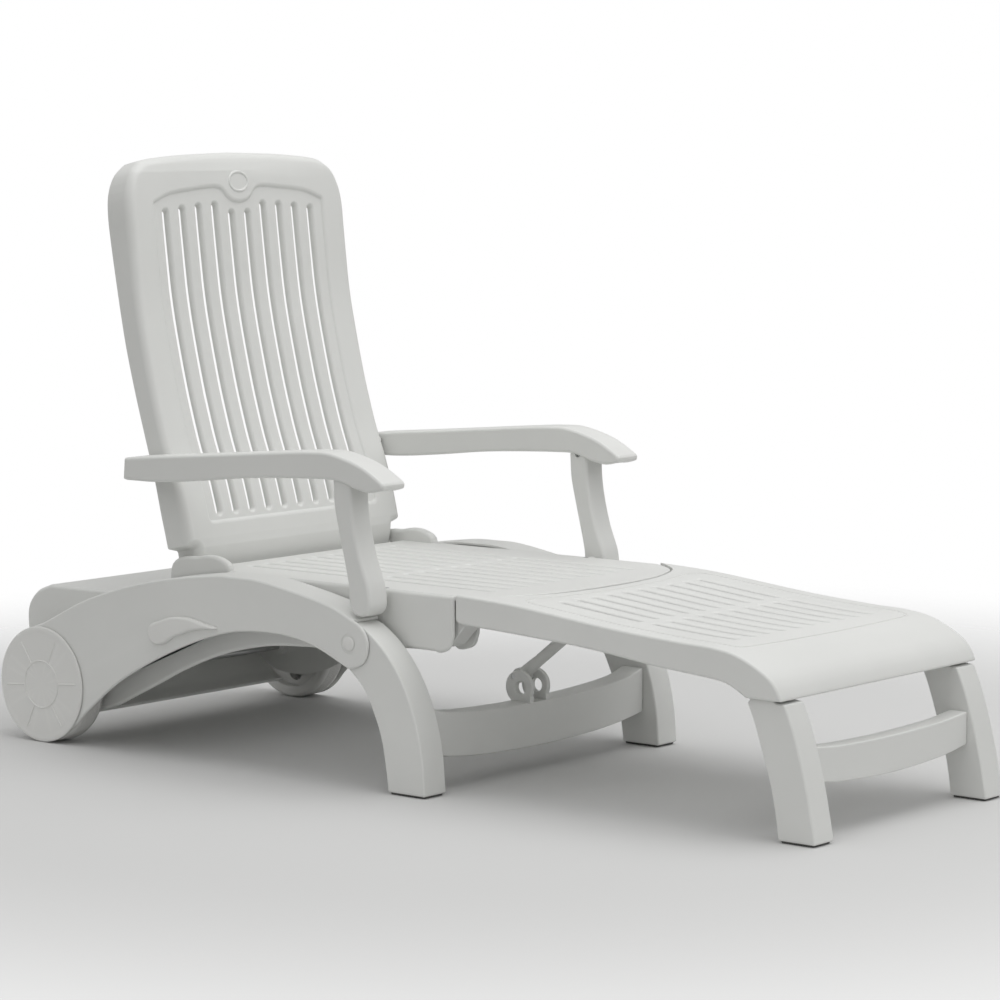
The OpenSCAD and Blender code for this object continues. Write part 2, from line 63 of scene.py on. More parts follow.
P_BACK = (-478.0, 322.0)
P_STRUT = (-9.0, 322.0)
P_ARM = (-46.0, 516.0)
P_LUG = (P_ARM[0] - P_STRUT[0] + P_BACK[0], P_ARM[1] - P_STRUT[1] + P_BACK[1])
P_MID = (-20.0, 246.0)
P_REST = (117.0, 265.0)
P_FRONT = (772.0, 238.0)
P_AXLE = (-759.0, WHEEL_R)
P_LEVER = (-466.0, 224.0)
P_BRACE = (66.0, 160.0)
P_TIP = (230.0, 288.0)
BOLTS = ((-82, 288), (-327, 304), (-552, 238))


# ---------------------------------------------------------------- outline tools

def smooth(points, step=7.0, closed=False):
    """Catmull-Rom curve through points, about one new point every step mm."""
    pts = [Vector(p) for p in points]
    n = len(pts)
    out = []
    spans = n if closed else n - 1
    for i in range(spans):
        p1, p2 = pts[i], pts[(i + 1) % n]
        p0 = pts[i - 1] if closed or i > 0 else p1 * 2 - p2
        p3 = pts[(i + 2) % n] if closed or i + 2 < n else p2 * 2 - p1
        count = max(2, int((p2 - p1).length / step))
        for k in range(count):
            t = k / count
            a = p1 * 2
            b = (p2 - p0) * t
            c = (p0 * 2 - p1 * 5 + p2 * 4 - p3) * t * t
            d = (p1 * 3 - p0 - p2 * 3 + p3) * t * t * t
            out.append((a + b + c + d) * 0.5)
    if not closed:
        out.append(pts[-1])
    return out


def runs(*parts):
    """Closed outline: lists of points are drawn as curves, and tuples as straight lines."""
    out = []
    for part in parts:
        curve = smooth(part) if isinstance(part, list) else [Vector(p) for p in part]
        if out and (out[-1] - curve[0]).length < 0.01:
            curve = curve[1:]
        out += curve
    if (out[0] - out[-1]).length < 0.01:
        out.pop()
    return out


def rounded(points, r, turn=18.0):
    """Replaces each corner that turns by more than turn degrees with an arc of radius r."""
    pts = [Vector(p) for p in points]
    n = len(pts)
    out = []
    for i in range(n):
        p, a, b = pts[i], pts[i - 1], pts[(i + 1) % n]
        u, v = (a - p), (b - p)
        lu, lv = u.length, v.length
        u.normalize()
        v.normalize()
        bend = math.pi - u.angle(v, math.pi)
        if math.degrees(bend) < turn:
            out.append(p)
            continue
        cut = min(r * math.tan(bend / 2), 0.48 * lu, 0.48 * lv)
        rad = cut / math.tan(bend / 2)
        centre = p + (u + v).normalized() * math.hypot(rad, cut)
        start, end = p + u * cut - centre, p + v * cut - centre
        count = max(2, int(math.degrees(bend) / 12) + 1)
        sweep = start.angle_signed(end)
        for k in range(count + 1):
            ang = -sweep * k / count
            c, s = math.cos(ang), math.sin(ang)
            out.append(centre + Vector((c * start.x - s * start.y, s * start.x + c * start.y)))
    return out


def area(points):
    return sum(a.x * b.y - b.x * a.y for a, b in zip(points, points[1:] + points[:1])) / 2


def ccw(points):
    pts = [Vector(p) for p in points]
    return pts if area(pts) > 0 else pts[::-1]


def inset(points, d):
    """Moves a counter-clockwise outline inwards by d; edges that shrink away bring their ends together."""
    n = len(points)
    ways = [(points[(i + 1) % n] - points[i]).normalized() for i in range(n)]
    bases = [points[i] + Vector((-w.y, w.x)) * d for i, w in enumerate(ways)]
    active = [i for i in range(n) if (points[(i + 1) % n] - points[i]).length > 1e-6]

    def meet(i, j):
        cross = ways[i].x * ways[j].y - ways[i].y * ways[j].x
        step = bases[j] - bases[i]
        if abs(cross) < 1e-3:
            far = bases[i] + ways[i] * (points[(i + 1) % n] - points[i]).length
            return (far + bases[j]) / 2
        reach = (step.x * ways[j].y - step.y * ways[j].x) / cross
        return bases[i] + ways[i] * reach

    while len(active) > 3:
        corners = [meet(active[k - 1], active[k]) for k in range(len(active))]
        lengths = [(corners[(k + 1) % len(active)] - corners[k]).dot(ways[active[k]])
                   for k in range(len(active))]
        worst = min(range(len(active)), key=lambda k: lengths[k])
        if lengths[worst] > 0:
            break
        active.pop(worst)
    out = []
    for i in range(n):
        after = next((e for e in active if e >= i), active[0])
        out.append(corners[active.index(after)])
    return out


def box_outline(x0, x1, z0, z1):
    return [Vector((x0, z0)), Vector((x1, z0)), Vector((x1, z1)), Vector((x0, z1))]


# ---------------------------------------------------------------- mesh tools

def side_point(p, y):
    return Vector((p.x, y, p.y))


def plan_point(p, z):
    return Vector((p.x, p.y, z))


def new_object(name, bm):
    bmesh.ops.remove_doubles(bm, verts=bm.verts, dist=1e-4)
    bmesh.ops.recalc_face_normals(bm, faces=bm.faces)
    for v in bm.verts:
        v.co *= MM
    mesh = bpy.data.meshes.new(name)
    bm.to_mesh(mesh)
    bm.free()
    obj = bpy.data.objects.new(name, mesh)
    bpy.context.scene.collection.objects.link(obj)
    return obj


def rings_to_object(name, rings):
    """Closed solid from a stack of equal rings, capped at both ends."""
    bm = bmesh.new()
    layers = [[bm.verts.new(p) for p in ring] for ring in rings]
    for low, high in zip(layers, layers[1:]):
        n = len(low)
        for i in range(n):
            bm.faces.new((low[i], low[(i + 1) % n], high[(i + 1) % n], high[i]))
    for end in (layers[0], layers[-1]):
        bm.faces.new(end)
    return new_object(name, bm)


def slab(name, outline, y0, y1, r0=0.0, r1=0.0, place=side_point, steps=4):
    """Outline extruded from y0 to y1, with a quarter-round of radius r0 and r1 at its two ends."""
    pts = ccw(outline)
    rings = []
    if r0:
        for k in range(steps):
            a = math.pi / 2 * k / steps
            rings.append((r0 * (1 - math.sin(a)), y0 + r0 * (1 - math.cos(a))))
    rings.append((0.0, y0 + r0))
    rings.append((0.0, y1 - r1))
    if r1:
        for k in range(1, steps + 1):
            a = math.pi / 2 * k / steps
            rings.append((r1 * (1 - math.cos(a)), y1 - r1 * (1 - math.sin(a))))
    layers = [[place(p, y) for p in (inset(pts, d) if d else pts)] for d, y in rings]
    return rings_to_object(name, layers)


def lathe(name, profile, p, count=72):
    """Turns (radius, y) points about the bar axis through the side-plane point p."""
    bm = bmesh.new()
    rings = []
    for r, y in profile:
        if r < 0.01:
            rings.append([bm.verts.new(Vector((p[0], y, p[1])))])
            continue
        rings.append([bm.verts.new(Vector((p[0] + r * math.cos(2 * math.pi * k / count), y,
                                           p[1] + r * math.sin(2 * math.pi * k / count))))
                      for k in range(count)])
    closed = len(rings[0]) > 1 and len(rings[-1]) > 1
    pairs = list(zip(rings, rings[1:]))
    if closed:
        pairs.append((rings[-1], rings[0]))
    for a, b in pairs:
        for k in range(count):
            j = (k + 1) % count
            if len(a) == 1:
                bm.faces.new((a[0], b[j], b[k]))
            elif len(b) == 1:
                bm.faces.new((a[k], a[j], b[0]))
            else:
                bm.faces.new((a[k], a[j], b[j], b[k]))
    return new_object(name, bm)


def bar(name, p, r, y0, y1, edge=1.0, count=48):
    """Round bar across the width with softly broken ends."""
    lo, hi = min(y0, y1), max(y0, y1)
    e = min(edge, r * 0.4, (hi - lo) * 0.4)
    prof = [(0, lo), (r - e, lo), (r - e * 0.3, lo + e * 0.3), (r, lo + e), (r, hi - e),
            (r - e * 0.3, hi - e * 0.3), (r - e, hi), (0, hi)]
    return lathe(name, prof, p, count)


def tube(name, path, r, closed=False, sides=10, up=(0, 1, 0)):
    """Round tube along 3D points, none of which runs along up."""
    pts = [Vector(p) for p in path]
    n = len(pts)
    bm = bmesh.new()
    rings = []
    for i in range(n):
        a = pts[i - 1] if closed or i else pts[i]
        b = pts[(i + 1) % n] if closed or i + 1 < n else pts[i]
        t = (b - a).normalized()
        u = t.cross(Vector(up)).normalized()
        v = t.cross(u)
        rings.append([bm.verts.new(pts[i] + (u * math.cos(q) + v * math.sin(q)) * r)
                      for q in [2 * math.pi * k / sides for k in range(sides)]])
    for i in range(n if closed else n - 1):
        a, b = rings[i], rings[(i + 1) % n]
        for k in range(sides):
            bm.faces.new((a[k], a[(k + 1) % sides], b[(k + 1) % sides], b[k]))
    if not closed:
        bm.faces.new(rings[0])
        bm.faces.new(rings[-1])
    return new_object(name, bm)


def boolean(target, tools, operation):
    """Cuts the tools from the target, or joins them to it, and deletes them."""
    for tool in tools:
        mod = target.modifiers.new("b", "BOOLEAN")
        mod.operation = operation
        mod.solver = "MANIFOLD"
        mod.object = tool
    bpy.context.view_layer.update()
    graph = bpy.context.evaluated_depsgraph_get()
    mesh = bpy.data.meshes.new_from_object(target.evaluated_get(graph))
    target.modifiers.clear()
    old = target.data
    target.data = mesh
    mesh.name = old.name
    bpy.data.meshes.remove(old)
    for tool in tools:
        data = tool.data
        bpy.data.objects.remove(tool)
        bpy.data.meshes.remove(data)
    return target


def cut(target, *tools):
    return boolean(target, tools, "DIFFERENCE")


def join(target, *tools):
    return boolean(target, tools, "UNION")


def turn(obj, matrix):
    obj.data.transform(matrix)
    return obj


def mirrored(obj):
    """Flips a piece modelled on the +Y side to the -Y side."""
    obj.data.transform(Matrix.Scale(-1, 4, Vector((0, 1, 0))))
    obj.data.flip_normals()
    return obj


def finish_piece(obj, body, slot, material, *nodes):
    """Shades a piece, gives it its material and ties it to its body and CAD nodes."""
    mesh = obj.data
    mesh.polygons.foreach_set("use_smooth", [True] * len(mesh.polygons))
    mesh.set_sharp_from_angle(angle=SHARP_ANGLE)
    weighted = obj.modifiers.new("normals", "WEIGHTED_NORMAL")
    weighted.keep_sharp = True
    mesh.materials.clear()
    mesh.materials.append(material)
    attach(obj, body)
    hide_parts(*nodes)
    obj.name = nodes[0] + "_skin"
    return obj


# ---------------------------------------------------------------- materials

def resin(name, colour, rough, grain, tone):
    """Moulded resin: fine grain in the bump, faint cloudy tone, uneven gloss and a painted highlight on
    convex edges.
    """
    mat = bpy.data.materials.new(name)
    mat.use_nodes = True
    nodes, links = mat.node_tree.nodes, mat.node_tree.links
    shader = nodes["Principled BSDF"]
    place = nodes.new("ShaderNodeTexCoord")
    cloud = nodes.new("ShaderNodeTexNoise")
    cloud.inputs["Scale"].default_value = 5.0
    cloud.inputs["Detail"].default_value = 5.0
    cloud.inputs["Roughness"].default_value = 0.6
    fine = nodes.new("ShaderNodeTexNoise")
    fine.inputs["Scale"].default_value = 900.0
    fine.inputs["Detail"].default_value = 2.0
    ramp = nodes.new("ShaderNodeValToRGB")
    ramp.color_ramp.elements[0].position = 0.30
    ramp.color_ramp.elements[1].position = 0.72
    low = [c * (1 - tone) for c in colour]
    ramp.color_ramp.elements[0].color = (*low, 1)
    ramp.color_ramp.elements[1].color = (*colour, 1)
    # Painted highlight: convex edges, where pointiness is high, are mixed up to 35% towards a colour 5%
    # brighter than the base colour.
    edge = nodes.new("ShaderNodeNewGeometry")
    edge_highlight = nodes.new("ShaderNodeMapRange")
    edge_highlight.inputs["From Min"].default_value = 0.50
    edge_highlight.inputs["From Max"].default_value = 0.62
    edge_highlight.inputs["To Min"].default_value = 0.0
    edge_highlight.inputs["To Max"].default_value = 0.35
    edge_highlight_mix = nodes.new("ShaderNodeMix")
    edge_highlight_mix.data_type = "RGBA"
    edge_highlight_mix.inputs["B"].default_value = (*[min(1, c * 1.05) for c in colour], 1)
    gloss = nodes.new("ShaderNodeMapRange")
    gloss.inputs["To Min"].default_value = rough - 0.07
    gloss.inputs["To Max"].default_value = rough + 0.09
    bump = nodes.new("ShaderNodeBump")
    bump.inputs["Strength"].default_value = grain
    bump.inputs["Distance"].default_value = 0.0004
    links.new(place.outputs["Object"], cloud.inputs["Vector"])
    links.new(place.outputs["Object"], fine.inputs["Vector"])
    links.new(cloud.outputs["Fac"], ramp.inputs["Fac"])
    links.new(edge.outputs["Pointiness"], edge_highlight.inputs["Value"])
    links.new(edge_highlight.outputs["Result"], edge_highlight_mix.inputs["Factor"])
    links.new(ramp.outputs["Color"], edge_highlight_mix.inputs["A"])
    links.new(edge_highlight_mix.outputs["Result"], shader.inputs["Base Color"])
    links.new(cloud.outputs["Fac"], gloss.inputs["Value"])
    links.new(gloss.outputs["Result"], shader.inputs["Roughness"])
    links.new(fine.outputs["Fac"], bump.inputs["Height"])
    links.new(bump.outputs["Normal"], shader.inputs["Normal"])
    shader.inputs["IOR"].default_value = 1.48
    return mat


def rubber():
    """Dark foot rubber with a dusty, pebbled surface."""
    mat = resin("foot_rubber", (0.13, 0.13, 0.127), 0.72, 0.6, 0.35)
    mat.node_tree.nodes["Principled BSDF"].inputs["Specular IOR Level"].default_value = 0.3
    return mat


def steel():
    """Plated steel drawn along its length."""
    mat = bpy.data.materials.new("pin_steel")
    mat.use_nodes = True
    nodes, links = mat.node_tree.nodes, mat.node_tree.links
    shader = nodes["Principled BSDF"]
    shader.inputs["Metallic"].default_value = 1.0
    place = nodes.new("ShaderNodeTexCoord")
    stretch = nodes.new("ShaderNodeMapping")
    stretch.inputs["Scale"].default_value = (400, 12, 400)
    lines = nodes.new("ShaderNodeTexNoise")
    lines.inputs["Scale"].default_value = 2.0
    lines.inputs["Detail"].default_value = 4.0
    ramp = nodes.new("ShaderNodeValToRGB")
    ramp.color_ramp.elements[0].color = (0.42, 0.43, 0.44, 1)
    ramp.color_ramp.elements[1].color = (0.66, 0.66, 0.65, 1)
    gloss = nodes.new("ShaderNodeMapRange")
    gloss.inputs["To Min"].default_value = 0.22
    gloss.inputs["To Max"].default_value = 0.45
    bump = nodes.new("ShaderNodeBump")
    bump.inputs["Strength"].default_value = 0.15
    bump.inputs["Distance"].default_value = 0.0003
    links.new(place.outputs["Object"], stretch.inputs["Vector"])
    links.new(stretch.outputs["Vector"], lines.inputs["Vector"])
    links.new(lines.outputs["Fac"], ramp.inputs["Fac"])
    links.new(ramp.outputs["Color"], shader.inputs["Base Color"])
    links.new(lines.outputs["Fac"], gloss.inputs["Value"])
    links.new(gloss.outputs["Result"], shader.inputs["Roughness"])
    links.new(lines.outputs["Fac"], bump.inputs["Height"])
    links.new(bump.outputs["Normal"], shader.inputs["Normal"])
    return mat


SHELL = resin("resin_shell", (0.78, 0.785, 0.765), 0.34, 0.16, 0.035)
BEAM = resin("resin_frame", (0.77, 0.775, 0.755), 0.37, 0.20, 0.04)
TRIM = resin("resin_trim", (0.79, 0.79, 0.77), 0.30, 0.14, 0.03)
WHEEL = resin("wheel_resin", (0.72, 0.72, 0.70), 0.50, 0.35, 0.07)
CAM = resin("cam_resin", (0.05, 0.05, 0.05), 0.55, 0.35, 0.15)
PAD = rubber()
STEEL = steel()


# ---------------------------------------------------------------- outlines, [x, z] in mm

REAR = [(-812, 274), (-848, 259), (-871, 230), (-872, 186), (-858, 126), (-818, 76)]
REST_TOP = [(150.5, 336), (281, 329), (468, 310), (600, 300.5), (674, 297), (727, 287),
            (778, 262), (800, 240), (808, 222)]
TONGUE = [(148, -280), (183, -258), (218, -221), (249, -130), (258, 0),
          (249, 130), (218, 221), (183, 258), (148, 280)]


def seat_side():
    """The seat's side wall: hinge hump, rear roll, arched lower edge and front ear."""
    return rounded(runs(
        ((148, SEAT_Z), (-338, SEAT_Z)),
        [(-338, SEAT_Z), (-378, 336), (-430, 345), (-466, 349), (-490, 346), (-503, 334), (-506, 320)],
        ((-506, 320), (-506, 276), (-812, 274)),
        REAR,
        [(-818, 76), (-790, 60), (-757, 52), (-700, 52), (-640, 68)],
        [(-640, 68), (-542, 115), (-470, 150), (-380, 185), (-282, 208), (-193, 216), (-106, 219)],
        ((-106, 219), (0, 220)),
        [(0, 220), (30, 233), (60, 236), (105, 236)],
        [(105, 236), (117, 234), (139, 243), (148, 265)],
        ((148, 265), (148, SEAT_Z))), 5.0)


def seat_middle():
    """The seat's middle: flat deck, pocket for the backrest foot, rear deck and apron."""
    return rounded(runs(
        ((148, SEAT_Z), (-442, SEAT_Z), (-445, 276), (-812, 274)),
        REAR,
        [(-818, 76), (-790, 48), (-757, 36)],
        ((-757, 36), (-700, 60), (-560, 160), (-300, 236), (148, 236))), 5.0)


def arch():
    return rounded(runs(
        [(-758, 216), (-640, 270), (-493, 312), (-351, 334), (-281, 337), (-213, 334), (-79, 310),
         (-13, 286), (6, 276), (18, 260), (21, 243), (14, 220), (-4, 207), (-24, 203)],
        [(-24, 203), (-106, 235), (-193, 247), (-303, 238), (-423, 198), (-554, 134), (-644, 68),
         (-680, 36), (-720, 18)],
        [(-720, 18), (-765, 20), (-815, 58), (-832, 105), (-822, 160), (-790, 202), (-758, 216)]), 4.0)


def armrest_side():
    return rounded(runs(
        [(-548, 527), (-520, 530), (-374, 542), (-185, 558), (-110, 563), (-65, 562), (-3, 546),
         (40, 524), (51, 515), (49, 507)],
        [(49, 507), (30, 502), (10, 501), (-16, 506), (-48, 515.5), (-94, 517), (-248, 509),
         (-374, 496), (-471, 488), (-548, 487)],
        ((-548, 487), (-556.5, 488.5), (-553.5, 526), (-548, 527))), 3.0)


def strut_side():
    return runs(
        [(-66, 514), (-63, 472), (-53, 428), (-42, 384), (-33, 345), (-30.5, 318)],
        [(-30.5, 318), (-29, 305), (-20, 294), (-6, 290.5), (8, 295), (15, 306), (15.5, 318)],
        [(15.5, 318), (11, 345), (-5, 386), (-17, 430), (-24, 472), (-26, 514)],
        [(-26, 514), (-30, 528), (-46, 536), (-61, 529), (-66, 514)])


def mid_leg_side():
    return rounded(runs(
        [(-55, 246), (-51, 229), (-31, 206), (7, 171), (29, 131), (45, 90), (54, 45), (59, 12)],
        ((59, 12), (59.5, SOLE_Z), (140.5, SOLE_Z), (140, 12)),
        [(140, 12), (135, 66), (123, 119), (104, 168), (78, 211), (46, 246), (14, 270), (-4, 279),
         (-20, 281), (-38, 276), (-50, 264), (-55, 246)]), 4.0)


def front_leg_side():
    return rounded(runs(
        [(738, 214), (751, 185), (767, 138), (783, 87), (793, 40), (797, 12)],
        ((797, 12), (798, SOLE_Z), (868, SOLE_Z), (867, 12)),
        [(867, 12), (863, 32), (854, 77), (841, 128), (825, 179), (809, 217)],
        ((809, 217), (790, 219.5), (788, 238)),
        [(788, 238), (783, 249), (772, 254), (761, 249), (756, 238)],
        ((756, 238), (738, 214))), 3.5)


def rest_side():
    return rounded(runs(
        REST_TOP,
        ((808, 222), (740, 222)),
        [(740, 222), (708, 239), (681, 245), (637, 249), (555, 256), (422, 271), (281, 280),
         (202, 284), (165, 286)],
        ((165, 286), (156, 288), (150.5, 293), (150.5, 336))), 3.0)


def tongue_plan(grow=0.0):
    pts = ccw([Vector(p) for p in [(96, -280)] + [tuple(p) for p in smooth(TONGUE)] + [(96, 280)]])
    return inset(pts, -grow) if grow else pts


def rest_top_at(x):
    """Height of the leg rest's top above x."""
    for a, b in zip(REST_CURVE, REST_CURVE[1:]):
        if a.x <= x <= b.x:
            return a.y + (b.y - a.y) * (x - a.x) / max(b.x - a.x, 1e-6)
    return REST_CURVE[0].y if x < REST_CURVE[0].x else REST_CURVE[-1].y


REST_CURVE = smooth(REST_TOP)


# ---------------------------------------------------------------- panels

def slot_y(i):
    return (i - (SLOT_COUNT - 1) / 2) * SLOT_PITCH


def flared_slot(name, x0, x1, y, top, flare=6.5, depth=16.0, roll=WALL):
    """Cutter for one lengthwise slot whose sides roll over into the face; top(x) is the face's height."""
    section = [(-depth, 0.0)]
    for k in range(6):
        a = math.pi / 2 * k / 5
        section.append((-roll + roll * math.sin(a), flare * (1 - math.cos(a))))
    section.append((2.0, flare + 0.2))
    half = SLOT_W / 2
    ends = 8
    stations = max(4, int((x1 - x0) / 18))
    rings = []
    for h, grow in section:
        r = half + grow
        ring = []
        for k in range(ends + 1):
            a = -math.pi / 2 + math.pi * k / ends
            ring.append((x1 - half + r * math.cos(a), y + r * math.sin(a)))
        for k in range(1, stations):
            ring.append((x1 - half - (x1 - x0 - SLOT_W) * k / stations, y + r))
        for k in range(ends + 1):
            a = math.pi / 2 + math.pi * k / ends
            ring.append((x0 + half + r * math.cos(a), y + r * math.sin(a)))
        for k in range(1, stations):
            ring.append((x0 + half + (x1 - x0 - SLOT_W) * k / stations, y - r))
        rings.append([Vector((px, py, top(px) + h)) for px, py in ring])
    return rings_to_object(name, rings)


def pair(make):
    """The piece that make() builds on the +Y side, and its mirror image."""
    return [make(), mirrored(make())]


def seat_shell():
    """Seat with rolled side edges, slotted deck, bowed tongue, hinge humps and hidden ribs."""
    body = slab("seat_shell", seat_middle(), -279, 279)
    join(body, *pair(lambda: slab("wall", seat_side(), 270, HALF_W, 0.0, 7.0, steps=6)))
    room = runs(((200, -60), (200, 325), (143, 325), (143, 329), (-438, 329), (-441, 272), (-808, 270)),
                [(-808, 270), (-845, 255), (-867, 229), (-868, 187), (-854, 128), (-815, 79)],
                [(-815, 79), (-787, 53), (-757, 41)], ((-757, 41), (-757, -60)))
    cut(body, slab("room", room, -280, 280))
    adds = [slab("tongue", tongue_plan(), SEAT_Z - 8, SEAT_Z, 1.5, 2.6, plan_point)]
    hump = rounded(runs([(-508, 300), (-508, 320), (-503, 337), (-488, 348), (-466, 352.5), (-446, 353),
                         (-428, 356.5), (-412, 358), (-394, 356.5), (-376, 351), (-366, 343), (-362, 329)],
                        ((-362, 329), (-362, 326), (-436, 326), (-441, 300), (-508, 300))), 2.5)
    adds += pair(lambda: slab("hump", hump, 266.3, 283.8, 7.0, 7.0, steps=6))
    lug = rounded(runs(((86, 330), (86, 265)), [(86, 265), (90, 249), (103, 236), (117, 234), (139, 243),
                                                (148, 265)], ((148, 265), (148, 330), (86, 330))), 2.0)
    adds += pair(lambda: slab("lug", lug, 215, 223, 1.0, 1.0))
    adds += pair(lambda: bar("boss", P_STRUT, 11, 279, 294, 1.5))
    adds += pair(lambda: bar("hub", P_AXLE, 18, 264, 281, 1.5))
    adds += pair(lambda: bar("eye", P_REST, 16, 276, 281, 0.8))
    for p in BOLTS:
        adds += pair(lambda: bar("mount", p, 16, 262, 281, 1.0))
    for y in (-150, 150):
        adds.append(slab("rib", box_outline(-439, 100, 317, 330), y - 2, y + 2))
    for x in (-300, -120, 60):
        adds.append(slab("rib", box_outline(x, x + 4, 317, 330), -280.5, 280.5))
    join(body, *adds)
    cut(body, *[flared_slot("slot", x, x + 270, slot_y(i), lambda x: SEAT_Z, 6.5, 24)
                for i in range(SLOT_COUNT) for x in (-400, -110)])
    holes = []
    for p, r, y0, y1 in ((P_BACK, 6, 255, 283.2), (P_REST, 6, 205, 282), (P_STRUT, 7, 265, 298),
                         (P_MID, 8, 265, 290), (P_AXLE, AXLE_R, 255, 290)):
        holes += pair(lambda: bar("hole", p, r, y0, y1, 0.01))
    for p in BOLTS:
        holes += pair(lambda: bar("hole", p, 5, 255, 290, 0.01))
    cut(body, *holes)
    return finish_piece(body, "frame", "resin_shell", SHELL, "seat_shell")


def legrest_panel():
    """Leg rest: an open-bottomed shell with slots, a fine border groove and hinge arms."""
    body = slab("legrest_panel", rest_side(), -HALF_W, HALF_W, 5.0, 5.0, steps=5)
    under = [a + Vector((b.y - a.y, a.x - b.x)).normalized() * WALL
             for a, b in zip(REST_CURVE, REST_CURVE[1:])]
    room = [Vector((100, 333))] + under + [Vector(p) for p in ((804, 100), (100, 100))]
    cut(body, slab("room", room, WALL - HALF_W, HALF_W - WALL))
    adds = [slab("shelf", box_outline(196, 293, 302, 307), -280.5, 280.5, 0.5, 0.5),
            slab("web", box_outline(290, 294, 302, 326), -280.5, 280.5)]
    for x in (400, 500, 600):
        top = rest_top_at(x)
        adds.append(slab("rib", box_outline(x, x + 4, top - 15, top - 3), -280.5, 280.5))
    arm = rounded(runs(
        ((160, 307), (230, 307), (230, 296), (165, 284), (135, 252)),
        [(135, 252), (127, 245), (117, 243), (101, 249), (95, 265), (101, 281), (117, 287)],
        ((117, 287), (148, 300), (160, 307))), 2)
    adds += pair(lambda: slab("arm", arm, 230, 272, 2, 2))
    adds += pair(lambda: bar("knuckle", P_REST, 22, 230, 272, 2))
    adds += pair(lambda: slab("strap", box_outline(156, 235, 296, 331), 230, 272))
    bracket = rounded(runs(((650, 299), (650, 268), (735, 236), (760, 222), (790, 224), (799, 238),
                            (790, 249), (770, 264), (740, 279), (650, 299))), 2)
    adds += pair(lambda: slab("bracket", bracket, 216, 221, 0.8, 0.8))
    adds += pair(lambda: bar("boss", P_FRONT, 14, 276.4, 280.5, 1.0))
    join(body, *adds)
    cut(body, slab("tongue_gap", tongue_plan(4.0), 310, 400, place=plan_point))
    slots = [flared_slot("slot", x, x + 170, slot_y(i), rest_top_at) for i in range(SLOT_COUNT)
             for x in (300, 490)]
    cut(body, *slots)
    half = smooth([(284, 0), (278, 110), (266, 190), (262, 222), (272, 244), (300, 249)], 10)
    half += [Vector((x, 249)) for x in range(312, 670, 12)]
    half += smooth([(672, 249), (694, 242), (703, 220), (708, 110), (710, 0)], 10)
    loop = [tuple(p) for p in half] + [(p.x, -p.y) for p in reversed(half)][1:-1]
    cut(body, tube("groove", [(x, y, rest_top_at(x) + 1.0) for x, y in loop], 2.6, True, 10, (0, 0, 1)))
    holes = pair(lambda: bar("hole", P_REST, 6.05, 205, 281, 0.01))
    holes += pair(lambda: bar("hole", P_FRONT, 6.0, 205, 282, 0.01))
    cut(body, *holes)
    return finish_piece(body, "leg_rest", "resin_shell", SHELL, "legrest_panel")


# ---------------------------------------------------------------- backrest

BACK_FRONT = [(-27, -8), (-21, 1), (-10, 5), (2, 9), (12, 14), (28, 19), (60, 20), (110, 17), (165, 10),
              (220, 0), (275, -6), (330, -10), (430, -13), (490, -12), (540, -8), (595, -3), (640, 1),
              (690, 4), (712, 3), (745, -6)]
BACK_REAR = [(-27, -16), (-21, -25), (-12, -31), (11, -35), (55, -37), (100, -40), (150, -42),
             (200, -46), (250, -51), (314, -57), (390, -62), (450, -63), (528, -62), (600, -60),
             (640, -57), (690, -53), (728, -46), (745, -42)]
BACK_DEPTH = 50.0


def height_curve(points):
    """Function from the height along the backrest to the depth of one of its faces."""
    line = smooth(points, 4)

    def at(s):
        for a, b in zip(line, line[1:]):
            if s <= b.x:
                return a.y + (b.y - a.y) * max(0.0, (s - a.x) / max(b.x - a.x, 1e-6))
        return line[-1].y
    return at


FRONT_AT, REAR_AT = height_curve(BACK_FRONT), height_curve(BACK_REAR)


def flat_point(p, x):
    """Backrest before it is bent: p is [y, height], x runs from 0 at the front to -50 at the rear."""
    return Vector((x, p.x, p.y))


def bend(obj):
    """Cuts the flat backrest every 15 mm of height and moves each point onto the curved faces."""
    bm = bmesh.new()
    bm.from_mesh(obj.data)
    for k in range(-1, 50):
        bmesh.ops.bisect_plane(bm, geom=list(bm.verts) + list(bm.edges) + list(bm.faces),
                               plane_co=(0, 0, 15 * k * MM), plane_no=(0, 0, 1), dist=1e-6)
    for v in bm.verts:
        x, s = v.co.x / MM, v.co.z / MM
        front, rear = FRONT_AT(s), REAR_AT(s)
        v.co.x = (front + x * (front - rear) / BACK_DEPTH) * MM
    bm.to_mesh(obj.data)
    bm.free()
    return obj


def back_front():
    """Front view of the backrest, [y, height along it]: crowned top and large round corners."""
    half = [(285, 600), (285, 640), (280, 673), (266, 703), (247, 720), (222, 730), (130, 738), (0, 742)]
    left = smooth(half)
    right = [Vector((-p.x, p.y)) for p in reversed(left)][1:]
    foot = [Vector(p) for p in ((262, -27), (262, 30), (285, 36))]
    return rounded(foot + left + right + [Vector((-p.x, p.y)) for p in reversed(foot)], 4.0, 30)


def field_outline():
    """Sunk field: straight sides, and a top edge that rises to the middle and dips round the ring."""
    half = smooth([(222, 650), (176, 665), (105, 673), (60, 675.5), (44, 671), (32, 658), (18, 650),
                   (0, 647)])
    left = [Vector((-p.x, p.y)) for p in reversed(half)][1:]
    return rounded([Vector((222, 74))] + half + left + [Vector((-222, 74))], 8.0, 30)


def layered(name, outline, rings, place):
    """Solid through copies of an outline, each (inset, level)."""
    pts = ccw(outline)
    return rings_to_object(name, [[place(p, level) for p in (inset(pts, d) if d else pts)]
                                  for d, level in rings])


